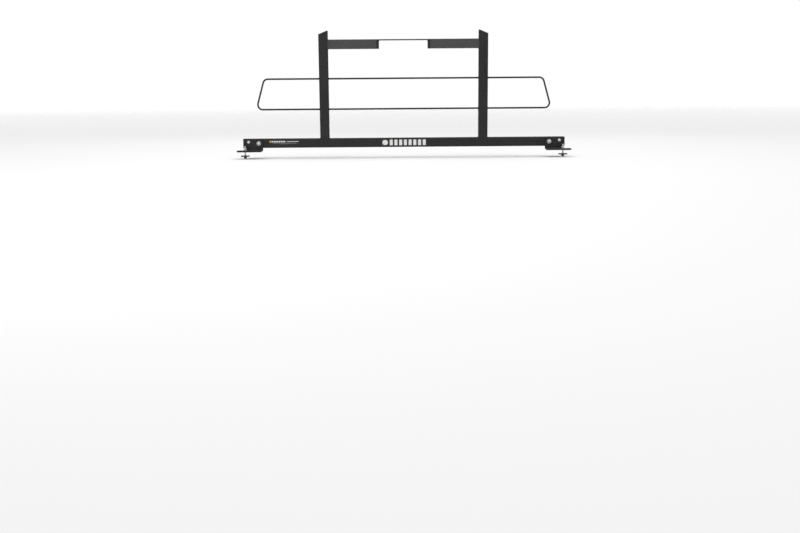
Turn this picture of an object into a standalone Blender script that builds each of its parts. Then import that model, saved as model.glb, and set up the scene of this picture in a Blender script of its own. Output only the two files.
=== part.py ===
"""Pickup headache rack: a welded black steel frame on two bolted bed-rail brackets.

X runs across the truck, +Y points to the cab and Z is up.  The origin lies on the
plane of the bed-rail tops, under the middle of the base beam.  Sizes are in metres.
"""

import math

import bmesh
import bpy
from mathutils import Matrix, Vector

# ---------------------------------------------------------------- driving dimensions
GAP = 0.0003                    # left between pieces that touch or are welded
SIDES = {"left": -1, "right": 1}

RAIL_CLEARANCE = 0.0200         # bed-rail top to the beam's underside
BEAM_LENGTH = 1.7860
BEAM_SIDE = 0.0508              # square tube
BEAM_WALL = 0.0030
BEAM_CORNER = 0.0050
END_CAP_FLANGE = 0.0030
END_CAP_PLUG = 0.0140
END_CAP_WALL = 0.0025

POST_X = 0.4385
POST_WIDTH = 0.0508
POST_DEPTH = 0.0381
POST_WALL = 0.0025
POST_CORNER = 0.0045
POST_HEIGHT = 0.5696            # beam top to the middle of the mitred cut, under its cap
MITRE = math.radians(22.5)      # the tops rise towards the truck's centre line
POST_CAP = 0.0030

CROSSBAR_TOP = 0.5345           # above the beam's top
CROSSBAR_HEIGHT = 0.0508
CROSSBAR_DEPTH = 0.0318
CROSSBAR_CORNER = 0.0030
CROSSBAR_WALL = 0.0025
CROSSBAR_TOP_WALL = 0.0055      # the strip that is left over the window
WINDOW_WIDTH = 0.2660           # clear of the brake lamp
WINDOW_END_LENGTH = 0.0140
WINDOW_END_BEND = 0.0100

ROD_DIAMETER = 0.0095
ROD_UPPER = 0.3247              # above the beam's top
ROD_LOWER = 0.1592
ROD_UPPER_REACH = 0.7680        # corner of the wing, from the centre line
ROD_LOWER_REACH = 0.8150
ROD_BEND = 0.0270

BOLT_DIAMETER = 0.009525        # 3/8-16 UNC
BOLT_HOLE = 0.0111
HEX_ACROSS_FLATS = 0.0143
HEAD_HEIGHT = 0.0060
NUT_HEIGHT = 0.0083
WASHER_DIAMETER = 0.0254
WASHER_BORE = 0.0102
WASHER_THICKNESS = 0.0021
BEAM_BOLT_LENGTH = 0.0762
BEAM_BOLTS = {"inner": (0.8050, 0.0), "outer": (0.8600, 0.0070)}   # x, above the middle
BRACKET_TRAVEL = 0.0060         # each way along the slots

PLATE = 0.0050                  # bracket steel
LEG_INNER = 0.7820              # the upright leg, on the beam's tailgate face
LEG_OUTER_TOP = 0.8800
LEG_OUTER_FOOT = 0.8860
LEG_CHAMFER = 0.0050
FOOT_OUTER = 0.9200
FOOT_NEAR = -0.1000             # edge towards the tailgate
FOOT_RELIEF = -0.0400           # cab-side edge of the outboard tongue
FOOT_CHAMFER = 0.0100
FOOT_BEND = 0.0075              # centre line of the plate
PAD = 0.0030
PAD_INSET = 0.0020              # behind the foot's outer and tailgate-side edges
PAD_INNER = 0.7860
PAD_FAR = -0.0340               # edge towards the cab

CLAMP_X = 0.8760
CLAMP_Y = -0.0660
STUD_LENGTH = 0.0700
STUD_END = 0.0100               # stands above the nut that is locked on it
LOCK_WASHER_DIAMETER = 0.0173
LOCK_WASHER_THICKNESS = 0.0024
LOCK_WASHER_SPLIT = 0.0016
LOCK_WASHER_LEAN = math.radians(20)
CLAMP_OPEN = 0.0190             # bed-rail top to the clamp plate at rest
CLAMP_PLATE = (0.0460, 0.0360, 0.0060)
CLAMP_PLATE_CORNER = 0.0060

LABEL_THICKNESS = 0.0004
LABEL_CORNER = 0.0030
CENTRE_LABEL = (0.2500, 0.0360)
SIDE_LABEL = (0.1680, 0.0220)
SIDE_LABEL_X = -0.6650
SIDE_LABEL_DROP = 0.0200        # its middle below the beam's top

CORNER_STEPS = 3
ROUND_STEPS = 20
ROD_BEND_STEPS = 6
ROD_BEVEL = 4                   # twelve sides
PLATE_BEND_STEPS = 4
CUT_THROUGH = 0.2               # side of a cutter that only has to reach past the piece

# ---------------------------------------------------------------- derived places
BEAM_TOP = RAIL_CLEARANCE + BEAM_SIDE
BEAM_MIDDLE = RAIL_CLEARANCE + BEAM_SIDE / 2
BEAM_FACE = BEAM_SIDE / 2
POST_Y = -BEAM_FACE + POST_DEPTH / 2
LEG_FACE = BEAM_FACE + GAP + PLATE      # tailgate side of the bracket's leg

BLACK = ("powder_black", (0.030, 0.030, 0.031), 0.50, 0.0)
BAR_BLACK = ("crossbar_black", (0.045, 0.045, 0.047), 0.50, 0.0)
PLASTIC = ("cap_plastic", (0.016, 0.016, 0.017), 0.55, 0.0)
RUBBER = ("pad_rubber", (0.012, 0.012, 0.012), 0.80, 0.0)
ZINC = ("zinc", (0.720, 0.725, 0.730), 0.28, 1.0)
DARK_STEEL = ("dark_zinc", (0.060, 0.060, 0.064), 0.40, 1.0)
VINYL = ("label_vinyl", (0.020, 0.020, 0.021), 0.35, 0.0)


def clear_scene():
    for item in list(bpy.data.objects):
        bpy.data.objects.remove(item, do_unlink=True)


def collection(name):
    group = bpy.data.collections.new(name)
    bpy.context.scene.collection.children.link(group)
    return group


def paint(item, finish):
    name, colour, roughness, metallic = finish
    material = bpy.data.materials.get(name)
    if material is None:
        material = bpy.data.materials.new(name)
        material.use_nodes = True
        shader = material.node_tree.nodes["Principled BSDF"]
        shader.inputs["Base Color"].default_value = (*colour, 1.0)
        shader.inputs["Roughness"].default_value = roughness
        shader.inputs["Metallic"].default_value = metallic
    item.data.materials.append(material)


def add(name, data, finish):
    """A named part in the rack's collection."""
    item = bpy.data.objects.new(name, data)
    RACK.objects.link(item)
    paint(item, finish)
    return item


def add_cutter(name, mesh):
    item = bpy.data.objects.new(name, mesh)
    CUTTERS.objects.link(item)
    item.hide_render = True
    item.display_type = "WIRE"
    return item


def boolean(item, other, operation="DIFFERENCE"):
    change = item.modifiers.new(other.name, "BOOLEAN")
    change.operation = operation
    change.object = other


def mesh_of(name, bm):
    mesh = bpy.data.meshes.new(name)
    bm.to_mesh(mesh)
    bm.free()
    return mesh


def block_mesh(name, size, corner=0.0, along=2, only=None):
    """A box centred on its origin; its edges along one axis are rounded.

    only, a function of an edge's middle, picks some of those edges.
    """
    bm = bmesh.new()
    bmesh.ops.create_cube(bm, size=1.0)
    bmesh.ops.scale(bm, vec=size, verts=bm.verts)
    if corner:
        edges = []
        for edge in bm.edges:
            start, end = (vert.co for vert in edge.verts)
            if abs(end[along] - start[along]) > 1e-9:
                if only is None or only((start + end) / 2):
                    edges.append(edge)
        bmesh.ops.bevel(bm, geom=edges, offset=corner, segments=CORNER_STEPS,
                        profile=0.5, affect="EDGES")
    return mesh_of(name, bm)


def round_mesh(name, diameter, length, sides=ROUND_STEPS):
    """A cylinder or prism along Z, centred on its origin."""
    bm = bmesh.new()
    bmesh.ops.create_cone(bm, cap_ends=True, segments=sides, radius1=diameter / 2,
                          radius2=diameter / 2, depth=length)
    mesh = mesh_of(name, bm)
    mesh.shade_smooth()
    mesh.set_sharp_from_angle(angle=math.radians(40))
    return mesh


def hex_mesh(name, height):
    return round_mesh(name, HEX_ACROSS_FLATS / math.cos(math.pi / 6), height, sides=6)


def ring_mesh(name, outer, inner, height):
    """The closed outline of a flat ring, ready to be turned about Z."""
    bm = bmesh.new()
    low, high = -height / 2, height / 2
    outline = [(outer / 2, high), (outer / 2, low), (inner / 2, low), (inner / 2, high)]
    verts = [bm.verts.new((radius, 0.0, level)) for radius, level in outline]
    for start, end in zip(verts, verts[1:] + verts[:1]):
        bm.edges.new((start, end))
    return mesh_of(name, bm)


def turn(item):
    screw = item.modifiers.new("turn", "SCREW")
    screw.steps = screw.render_steps = ROUND_STEPS
    screw.use_merge_vertices = True
    screw.merge_threshold = 0.00001
    screw.use_smooth_shade = False


def bent_line(corners, radius, steps):
    """Points along straight runs through the corners, with an arc at each inner one."""
    points = [Vector(corners[0])]
    for before, corner, after in zip(corners, corners[1:], corners[2:]):
        corner = Vector(corner)
        into = (corner - Vector(before)).normalized()
        out = (Vector(after) - corner).normalized()
        turning = into.angle(out)
        setback = radius * math.tan(turning / 2)
        start = corner - into * setback
        side = (out - into * into.dot(out)).normalized()
        centre = start + side * radius
        for step in range(steps + 1):
            angle = turning * step / steps
            points.append(centre + (into * math.sin(angle) - side * math.cos(angle)) * radius)
    points.append(Vector(corners[-1]))
    return points


def rod(name, corners):
    """A round bar bent through the corners."""
    points = corners if len(corners) == 2 else bent_line(corners, ROD_BEND, ROD_BEND_STEPS)
    curve = bpy.data.curves.new(name, "CURVE")
    curve.dimensions = "3D"
    curve.bevel_depth = ROD_DIAMETER / 2
    curve.bevel_resolution = ROD_BEVEL
    curve.use_fill_caps = True
    line = curve.splines.new("POLY")
    line.points.add(len(points) - 1)
    for spot, point in zip(line.points, points):
        spot.co = (*point, 1.0)
    return add(name, curve, BLACK)


# ---------------------------------------------------------------- base beam
def bolt_hole(name, x, rise):
    """A hole through both walls of the beam."""
    cutter = add_cutter(name, round_mesh(name, BOLT_HOLE, 2 * BEAM_SIDE))
    cutter.rotation_euler = (math.pi / 2, 0.0, 0.0)
    cutter.location = (x, 0.0, BEAM_MIDDLE + rise)
    return cutter


def make_beam():
    length = BEAM_LENGTH - 2 * (END_CAP_FLANGE + GAP)
    bore = BEAM_SIDE - 2 * BEAM_WALL
    beam = add("base_beam", block_mesh("base_beam", (length, BEAM_SIDE, BEAM_SIDE),
                                       BEAM_CORNER, along=0), BLACK)
    beam.location.z = BEAM_MIDDLE
    cutter = add_cutter("beam_bore", block_mesh("beam_bore", (2 * length, bore, bore),
                                                BEAM_CORNER - BEAM_WALL, along=0))
    cutter.location.z = BEAM_MIDDLE
    boolean(beam, cutter)
    for side, sign in SIDES.items():
        for place, (x, rise) in BEAM_BOLTS.items():
            boolean(beam, bolt_hole(f"beam_hole_{side}_{place}", sign * x, rise))


def make_end_cap(side, sign):
    """A plastic plug: a flange flush with the tube and a hollow skirt inside it."""
    name = f"beam_end_cap_{side}"
    bore = BEAM_SIDE - 2 * (BEAM_WALL + GAP)
    hollow = bore - 2 * END_CAP_WALL
    cap = add(name, block_mesh(name, (END_CAP_FLANGE, BEAM_SIDE, BEAM_SIDE), BEAM_CORNER,
                               along=0), PLASTIC)
    face = BEAM_LENGTH / 2
    cap.location = (sign * (face - END_CAP_FLANGE / 2), 0.0, BEAM_MIDDLE)
    skirt_length = END_CAP_PLUG + END_CAP_FLANGE / 2
    skirt = add_cutter(f"{name}_skirt", block_mesh(f"{name}_skirt", (skirt_length, bore, bore),
                                                   BEAM_CORNER - BEAM_WALL, along=0))
    skirt.location = (sign * (face - END_CAP_FLANGE / 2 - skirt_length / 2), 0.0, BEAM_MIDDLE)
    boolean(cap, skirt, "UNION")
    cavity = add_cutter(f"{name}_cavity", block_mesh(f"{name}_cavity",
                                                     (2 * END_CAP_PLUG, hollow, hollow)))
    cavity.location = (sign * (face - END_CAP_FLANGE - END_CAP_PLUG), 0.0, BEAM_MIDDLE)
    boolean(cap, cavity)


# ---------------------------------------------------------------- upright posts
def make_post(side, sign):
    """An upright tube, cut at the top on a slope that rises inwards, and its welded cap."""
    name = f"post_{side}"
    length = POST_HEIGHT + POST_WIDTH    # long enough for the slope to cut right across
    foot = BEAM_TOP + GAP
    middle = Vector((sign * POST_X, POST_Y, BEAM_TOP + POST_HEIGHT))
    post = add(name, block_mesh(name, (POST_WIDTH, POST_DEPTH, length), POST_CORNER), BLACK)
    post.location = (sign * POST_X, POST_Y, foot + length / 2)
    bore = add_cutter(f"{name}_bore", block_mesh(
        f"{name}_bore", (POST_WIDTH - 2 * POST_WALL, POST_DEPTH - 2 * POST_WALL, 2 * length),
        POST_CORNER - POST_WALL))
    bore.location = post.location
    boolean(post, bore)

    slope = Matrix.Rotation(sign * MITRE, 3, "Y")
    above = slope @ Vector((0.0, 0.0, 1.0))
    mitre = add_cutter(f"{name}_mitre", block_mesh(f"{name}_mitre", (CUT_THROUGH,) * 3))
    mitre.rotation_euler = slope.to_euler()
    mitre.location = middle + above * CUT_THROUGH / 2
    boolean(post, mitre)

    cap_name = f"post_cap_{side}"
    cap = add(cap_name, block_mesh(cap_name, (POST_WIDTH / math.cos(MITRE), POST_DEPTH, POST_CAP),
                                   POST_CORNER), BLACK)
    cap.rotation_euler = slope.to_euler()
    cap.location = middle + above * (GAP + POST_CAP / 2)


# ---------------------------------------------------------------- crossbar
def make_crossbar():
    """A tube between the posts; in the middle only its top wall is left, over a window."""
    length = 2 * (POST_X - POST_WIDTH / 2 - GAP)
    top = BEAM_TOP + CROSSBAR_TOP
    bottom = top - CROSSBAR_HEIGHT
    bar = add("crossbar", block_mesh("crossbar", (length, CROSSBAR_DEPTH, CROSSBAR_HEIGHT),
                                     CROSSBAR_CORNER, along=0), BAR_BLACK)
    bar.location = (0.0, POST_Y, (top + bottom) / 2)

    low, high = bottom + CROSSBAR_WALL, top - CROSSBAR_TOP_WALL
    bore = add_cutter("crossbar_bore", block_mesh(
        "crossbar_bore", (2 * length, CROSSBAR_DEPTH - 2 * CROSSBAR_WALL, high - low)))
    bore.location = (0.0, POST_Y, (low + high) / 2)
    boolean(bar, bore)

    cut = WINDOW_WIDTH + 2 * WINDOW_END_LENGTH
    window = add_cutter("crossbar_window", block_mesh(
        "crossbar_window", (cut, 2 * CROSSBAR_DEPTH, 2 * (high - bottom))))
    window.location = (0.0, POST_Y, bottom)
    boolean(bar, window)
    for side, sign in SIDES.items():
        make_window_end(side, sign, bottom, high - GAP)


def make_window_end(side, sign, bottom, top):
    """A pressed cup that closes the cut tube, with rounded upright edges at the window."""
    name = f"window_end_{side}"
    length = WINDOW_END_LENGTH - GAP
    centre = (sign * (WINDOW_WIDTH + length) / 2, POST_Y, (bottom + top) / 2)

    def facing_window(middle):
        return middle.x * sign < 0

    cup = add(name, block_mesh(name, (length, CROSSBAR_DEPTH, top - bottom), WINDOW_END_BEND,
                               along=2, only=facing_window), BLACK)
    cup.location = centre
    wall = CROSSBAR_WALL
    cavity = add_cutter(f"{name}_cavity", block_mesh(
        f"{name}_cavity", (2 * length, CROSSBAR_DEPTH - 2 * wall, top - bottom - 2 * wall),
        WINDOW_END_BEND - wall, along=2, only=facing_window))
    cavity.location = (centre[0] + sign * (length / 2 + wall), centre[1], centre[2])
    boolean(cup, cavity)


# ---------------------------------------------------------------- window guard rods
def make_rods():
    upper, lower = BEAM_TOP + ROD_UPPER, BEAM_TOP + ROD_LOWER
    inner = POST_X - POST_WIDTH / 2 - GAP
    outer = POST_X + POST_WIDTH / 2 + GAP
    for name, level in (("guard_rod_upper", upper), ("guard_rod_lower", lower)):
        rod(name, [(-inner, POST_Y, level), (inner, POST_Y, level)])
    for side, sign in SIDES.items():
        rod(f"wing_rod_{side}", [
            (sign * outer, POST_Y, upper),
            (sign * ROD_UPPER_REACH, POST_Y, upper),
            (sign * ROD_LOWER_REACH, POST_Y, lower),
            (sign * outer, POST_Y, lower)])


# ---------------------------------------------------------------- bed-rail brackets
def bracket_mesh(name, sign):
    """One bent plate: down the beam's tailgate face, then out over the bed rail as the foot."""
    leg = BEAM_FACE + GAP + PLATE / 2
    foot = PAD + GAP + PLATE / 2
    line = bent_line([(0.0, -leg, BEAM_TOP), (0.0, -leg, foot), (0.0, FOOT_NEAR, foot)],
                     FOOT_BEND, PLATE_BEND_STEPS)
    bm = bmesh.new()
    verts = [bm.verts.new(point) for point in line]
    edges = [bm.edges.new(pair) for pair in zip(verts, verts[1:])]
    for vert in verts:
        vert.co.x = sign * LEG_INNER
    swept = bmesh.ops.extrude_edge_only(bm, edges=edges)["geom"]
    for item in swept:
        if isinstance(item, bmesh.types.BMVert):
            item.co.x = sign * FOOT_OUTER
    return mesh_of(name, bm)


def make_bracket(side, sign):
    name = f"mount_bracket_{side}"
    bracket = add(name, bracket_mesh(name, sign), BLACK)
    shell = bracket.modifiers.new("plate", "SOLIDIFY")
    shell.thickness = PLATE
    shell.offset = 0.0
    shell.use_even_offset = True

    def remove(label, mesh, location, rotation=(0.0, 0.0, 0.0)):
        cutter = add_cutter(f"{name}_{label}", mesh)
        cutter.location = location
        cutter.rotation_euler = rotation
        boolean(bracket, cutter)

    # the leg ends on a slope, and only a tongue of the foot goes on outboard
    lean = math.atan2(LEG_OUTER_FOOT - LEG_OUTER_TOP, BEAM_TOP)
    end = Vector((sign * LEG_OUTER_FOOT, FOOT_RELIEF + CUT_THROUGH / 2, 0.0))
    outward = Vector((sign * math.cos(lean), 0.0, math.sin(lean)))
    remove("outline", block_mesh(f"{name}_outline", (CUT_THROUGH,) * 3),
           end + outward * CUT_THROUGH / 2, (0.0, -sign * lean, 0.0))
    square = FOOT_CHAMFER * math.sqrt(2)
    for label, x, y in (("corner_cab", FOOT_OUTER, FOOT_RELIEF),
                        ("corner_bed", FOOT_OUTER, FOOT_NEAR),
                        ("corner_middle", LEG_INNER, FOOT_NEAR)):
        remove(label, block_mesh(f"{name}_{label}", (square, square, CUT_THROUGH)),
               (sign * x, y, 0.0), (0.0, 0.0, math.pi / 4))
    square = LEG_CHAMFER * math.sqrt(2)
    for label, x in (("corner_inner", LEG_INNER), ("corner_outer", LEG_OUTER_TOP)):
        remove(label, block_mesh(f"{name}_{label}", (square, 4 * BEAM_SIDE, square)),
               (sign * x, 0.0, BEAM_TOP), (0.0, math.pi / 4, 0.0))

    # slots for the beam bolts
    free = (BOLT_HOLE - BOLT_DIAMETER) / 2
    slot = BOLT_HOLE + 2 * (BRACKET_TRAVEL - free + GAP)
    nearly_half = 0.499         # a full half would leave the rounded ends no flat between
    for place, (x, rise) in BEAM_BOLTS.items():
        mesh = block_mesh(f"{name}_slot_{place}", (slot, CUT_THROUGH, BOLT_HOLE),
                          nearly_half * BOLT_HOLE, along=1)
        remove(f"slot_{place}", mesh, (sign * x, 0.0, BEAM_MIDDLE + rise))
    remove("clamp_hole", round_mesh(f"{name}_clamp_hole", BOLT_HOLE, 4 * PLATE),
           (sign * CLAMP_X, CLAMP_Y, PAD))


def make_foot_pad(side, sign):
    name = f"foot_pad_{side}"
    inner, outer = PAD_INNER, FOOT_OUTER - PAD_INSET
    near, far = FOOT_NEAR + PAD_INSET, PAD_FAR
    pad = add(name, block_mesh(name, (outer - inner, far - near, PAD), FOOT_CHAMFER), RUBBER)
    pad.location = (sign * (inner + outer) / 2, (near + far) / 2, PAD / 2)
    hole = add_cutter(f"{name}_hole", round_mesh(f"{name}_hole", BOLT_HOLE, 4 * PAD))
    hole.location = (sign * CLAMP_X, CLAMP_Y, PAD / 2)
    boolean(pad, hole)


# ---------------------------------------------------------------- fasteners
def make_washer(name, place, rotation, outer, thickness, finish):
    """A flat ring; place is the middle of its thickness."""
    washer = add(name, ring_mesh(name, outer, WASHER_BORE, thickness), finish)
    turn(washer)
    washer.location = place
    washer.rotation_euler = rotation
    return washer


def make_bolt(name, seat, rotation, length):
    """A hexagon bolt; its origin is where the head's underside meets the axis."""
    overlap = 0.001             # the shank reaches this far into the head
    head_mesh = hex_mesh(name, HEAD_HEIGHT)
    head_mesh.transform(Matrix.Translation((0.0, 0.0, HEAD_HEIGHT / 2)))
    bolt = add(name, head_mesh, ZINC)
    shank_mesh = round_mesh(f"{name}_shank", BOLT_DIAMETER, length + overlap)
    shank_mesh.transform(Matrix.Translation((0.0, 0.0, (overlap - length) / 2)))
    shank = add_cutter(f"{name}_shank", shank_mesh)
    boolean(bolt, shank, "UNION")
    for item in (bolt, shank):
        item.location = seat
        item.rotation_euler = rotation


def make_nut(name, place, rotation, finish):
    """A hexagon nut, centred on place."""
    nut = add(name, hex_mesh(name, NUT_HEIGHT), finish)
    thread = add_cutter(f"{name}_bore", round_mesh(
        f"{name}_bore", BOLT_DIAMETER + 2 * GAP, 2 * NUT_HEIGHT))
    boolean(nut, thread)
    for item in (nut, thread):
        item.location = place
        item.rotation_euler = rotation


def make_beam_bolt(side, sign, place, x, rise):
    """A through-bolt: its head on the bracket's leg, its nut on the beam's cab face."""
    tag = f"{side}_{place}"
    facing = (math.pi / 2, 0.0, 0.0)
    washer_finish = ZINC if place == "inner" else DARK_STEEL
    across, level = sign * x, BEAM_MIDDLE + rise
    y = -LEG_FACE - GAP
    make_washer(f"bolt_washer_{tag}", (across, y - WASHER_THICKNESS / 2, level), facing,
                WASHER_DIAMETER, WASHER_THICKNESS, washer_finish)
    y -= WASHER_THICKNESS + GAP
    make_bolt(f"beam_bolt_{tag}", (across, y, level), facing, BEAM_BOLT_LENGTH)
    y = BEAM_FACE + GAP
    make_washer(f"nut_washer_{tag}", (across, y + WASHER_THICKNESS / 2, level), facing,
                WASHER_DIAMETER, WASHER_THICKNESS, ZINC)
    y += WASHER_THICKNESS + GAP
    make_nut(f"beam_nut_{tag}", (across, y + NUT_HEIGHT / 2, level), facing, ZINC)


def make_clamp(side, sign):
    """The bed-rail clamp: a stud with a nut locked on it, in a plate with a welded nut."""
    upright = (0.0, 0.0, 0.0)
    x, y = sign * CLAMP_X, CLAMP_Y
    level = PAD + GAP + PLATE + GAP
    make_washer(f"clamp_washer_{side}", (x, y, level + WASHER_THICKNESS / 2), upright,
                WASHER_DIAMETER, WASHER_THICKNESS, ZINC)
    level += WASHER_THICKNESS + GAP
    spring = make_washer(f"clamp_lock_washer_{side}", (x, y, level + LOCK_WASHER_THICKNESS / 2),
                         upright, LOCK_WASHER_DIAMETER, LOCK_WASHER_THICKNESS, ZINC)
    split = add_cutter(f"lock_washer_split_{side}", block_mesh(
        f"lock_washer_split_{side}",
        (LOCK_WASHER_SPLIT, LOCK_WASHER_DIAMETER, LOCK_WASHER_DIAMETER)))
    split.location = (x, y - LOCK_WASHER_DIAMETER / 2, level + LOCK_WASHER_THICKNESS / 2)
    split.rotation_euler = (0.0, LOCK_WASHER_LEAN, 0.0)
    boolean(spring, split)
    level += LOCK_WASHER_THICKNESS + GAP
    make_nut(f"clamp_stud_nut_{side}", (x, y, level + NUT_HEIGHT / 2), upright, ZINC)
    name = f"clamp_stud_{side}"
    stud = add(name, round_mesh(name, BOLT_DIAMETER, STUD_LENGTH), ZINC)
    stud.location = (x, y, level + NUT_HEIGHT + STUD_END - STUD_LENGTH / 2)

    name = f"clamp_plate_{side}"
    thickness = CLAMP_PLATE[2]
    plate = add(name, block_mesh(name, CLAMP_PLATE, CLAMP_PLATE_CORNER), DARK_STEEL)
    plate.location = (x, y, -CLAMP_OPEN - thickness / 2)
    hole = add_cutter(f"{name}_hole", round_mesh(f"{name}_hole", BOLT_HOLE, 4 * thickness))
    hole.location = plate.location
    boolean(plate, hole)
    nut_middle = -CLAMP_OPEN - thickness - GAP - NUT_HEIGHT / 2
    make_nut(f"clamp_nut_{side}", (x, y, nut_middle), upright, DARK_STEEL)


# ---------------------------------------------------------------- labels
def make_label(name, x, z, size):
    """A thin vinyl plate on the beam's tailgate face."""
    width, height = size
    label = add(name, block_mesh(name, (width, LABEL_THICKNESS, height), LABEL_CORNER,
                                 along=1), VINYL)
    label.location = (x, -BEAM_FACE - GAP - LABEL_THICKNESS / 2, z)


clear_scene()
RACK = collection("headache_rack")
CUTTERS = collection("cutters")
make_beam()
make_crossbar()
make_rods()
make_label("centre_label", 0.0, BEAM_MIDDLE, CENTRE_LABEL)
make_label("side_label", SIDE_LABEL_X, BEAM_TOP - SIDE_LABEL_DROP, SIDE_LABEL)
for side, sign in SIDES.items():
    make_end_cap(side, sign)
    make_post(side, sign)
    make_bracket(side, sign)
    make_foot_pad(side, sign)
    make_clamp(side, sign)
    for place, (x, rise) in BEAM_BOLTS.items():
        make_beam_bolt(side, sign, place, x, rise)
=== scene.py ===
"""The looks of the pickup headache rack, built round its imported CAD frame.

Lengths are in metres.  X runs across the truck, +Y points to the cab and Z is up.
A finer piece stands for the CAD nodes that its show() call names, and rides on the
same body.  Places come from the boxes of the CAD nodes.
"""

import math
import random

import bmesh
import bpy
from mathutils import Matrix, Vector


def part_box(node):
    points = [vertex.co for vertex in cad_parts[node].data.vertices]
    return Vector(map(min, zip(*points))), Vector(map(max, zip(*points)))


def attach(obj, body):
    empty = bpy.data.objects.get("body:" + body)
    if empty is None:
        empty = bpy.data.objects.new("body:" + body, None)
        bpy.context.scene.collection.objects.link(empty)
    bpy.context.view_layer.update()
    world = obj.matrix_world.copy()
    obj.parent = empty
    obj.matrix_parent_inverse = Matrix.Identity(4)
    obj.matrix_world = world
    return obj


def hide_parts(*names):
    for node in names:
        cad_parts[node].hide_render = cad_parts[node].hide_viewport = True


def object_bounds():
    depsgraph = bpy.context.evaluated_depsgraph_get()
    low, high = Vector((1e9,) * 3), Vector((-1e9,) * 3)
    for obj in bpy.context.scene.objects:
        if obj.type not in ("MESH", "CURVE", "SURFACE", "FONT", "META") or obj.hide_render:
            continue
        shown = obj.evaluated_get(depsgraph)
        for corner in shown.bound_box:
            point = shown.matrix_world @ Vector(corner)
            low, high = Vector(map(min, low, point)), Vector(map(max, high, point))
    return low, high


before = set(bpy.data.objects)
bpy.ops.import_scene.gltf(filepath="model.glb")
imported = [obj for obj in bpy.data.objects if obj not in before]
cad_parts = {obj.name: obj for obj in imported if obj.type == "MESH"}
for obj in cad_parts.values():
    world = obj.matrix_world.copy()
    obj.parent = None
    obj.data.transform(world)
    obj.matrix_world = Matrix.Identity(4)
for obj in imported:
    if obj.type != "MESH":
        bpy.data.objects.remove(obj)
CAD_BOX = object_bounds()

SIDES = {"left": -1, "right": 1}
PLACES = ("inner", "outer")     # of a side's two beam bolts
GAP = 0.0003                    # left between CAD pieces that touch or are welded

CORNER_STEPS = 8                # faces round a tube's corner
EDGE = 0.0004                   # rounding of a cut edge
COLUMNS = 36                    # faces round a bolt, nut or washer
ROD_SIDES = 28

BEAM_WALL = 0.0030
BEAM_CORNER = 0.0050
POST_WALL = 0.0025
POST_CORNER = 0.0045
MITRE = math.radians(22.5)
BAR_WALL = 0.0025
BAR_TOP_WALL = 0.0055           # of the strip that is left over the window
BAR_CORNER = 0.0030
BAR_FILLET = 0.0070             # rounded inner corners of the window
CUP_BEND = 0.0100
ROD_BEND = 0.0270
WING_UPPER = 0.7680             # corners of the wings, from the centre line
WING_LOWER = 0.8150
CAP = 0.0030                    # thickness of the plate on a mitred top

RIPPLE_PITCH = 0.0024           # along a weld bead
WELD_SIDES = 12
WELD_STEP = 0.0006
FOOT_BEAD = 0.0030              # radii of the beads
BAR_BEAD = 0.0026
ROD_BEAD = 0.0019
CAP_BEAD = 0.0009

PLATE = 0.0050                  # thickness of the brackets
PLATE_EDGE = 0.0007             # rounding of their cut edges
LEG_OUTER_TOP = 0.8800
LEG_OUTER_FOOT = 0.8860
LEG_CORNER = 0.0050
FOOT_BEND = 0.0075
FOOT_RELIEF = -0.0400           # cab-side edge of the foot's outboard tongue
FOOT_CHAMFER = 0.0100
PAD = 0.0030                    # thickness of the rubber under a foot
BRACKET_TRAVEL = 0.0060
JAW_CORNER = 0.0060
JAW_GROOVES = (-0.0140, -0.0110, 0.0110, 0.0140)        # from the stud's axis
JAW_GROOVE = 0.0012

BOLT_DIAMETER = 0.009525
THREADED = 0.0180               # length of a bolt's thread
BOLT_HOLE = 0.0111
WASHER_BORE = 0.0102
ACROSS_FLATS = 0.0143
FACE_RADIUS = 0.475 * ACROSS_FLATS
THREAD_PITCH = 0.0015875        # 16 turns an inch
THREAD_DEPTH = 0.0008
TIP = BOLT_DIAMETER / 2 - THREAD_DEPTH - 0.0003         # radius of a chamfered end
CUT_THROUGH = 0.2               # side of a cutter that only has to reach past the piece

LABEL_CORNER = 0.0030
MARK = 0.00012                  # thickness of what stands on a label's film
X_AXIS, Y_AXIS, Z_AXIS = (Vector(row) for row in Matrix.Identity(3))


# ---------------------------------------------------------------- places in the frame
def middle(cad):
    low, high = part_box(cad)
    return (low + high) / 2


def size(cad):
    low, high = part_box(cad)
    return high - low


BEAM_LOW, BEAM_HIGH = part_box("base_beam")
BEAM_SIDE = BEAM_HIGH.z - BEAM_LOW.z
BEAM_TOP = BEAM_HIGH.z
BEAM_MIDDLE = (BEAM_LOW.z + BEAM_HIGH.z) / 2
BEAM_FACE = BEAM_HIGH.y
POST_Y = middle("post_left").y


# ---------------------------------------------------------------- materials
# Noise scales are features to a metre, and bump distances are metres.
def node(tree, kind, **values):
    """A shader node; its sockets' values are given by name, with _ for a space."""
    made = tree.nodes.new(kind)
    for name, value in values.items():
        made.inputs[name.replace("_", " ")].default_value = value
    return made


def start_material(name, colour, roughness, metallic=0.0, **sockets):
    material = bpy.data.materials.new(name)
    material.use_nodes = True
    tree = material.node_tree
    shader = tree.nodes["Principled BSDF"]
    shader.inputs["Base Color"].default_value = (*colour, 1.0)
    shader.inputs["Roughness"].default_value = roughness
    shader.inputs["Metallic"].default_value = metallic
    for socket, value in sockets.items():
        shader.inputs[socket.replace("_", " ")].default_value = value
    material.diffuse_color = (*colour, 1.0)
    return material, tree, shader


def object_point(tree, stretch=(1.0, 1.0, 1.0)):
    """The piece's own coordinates, so that a pattern stays on a piece that moves."""
    place = node(tree, "ShaderNodeTexCoord")
    mapping = node(tree, "ShaderNodeMapping", Scale=stretch)
    tree.links.new(place.outputs["Object"], mapping.inputs["Vector"])
    return mapping.outputs["Vector"]


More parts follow.
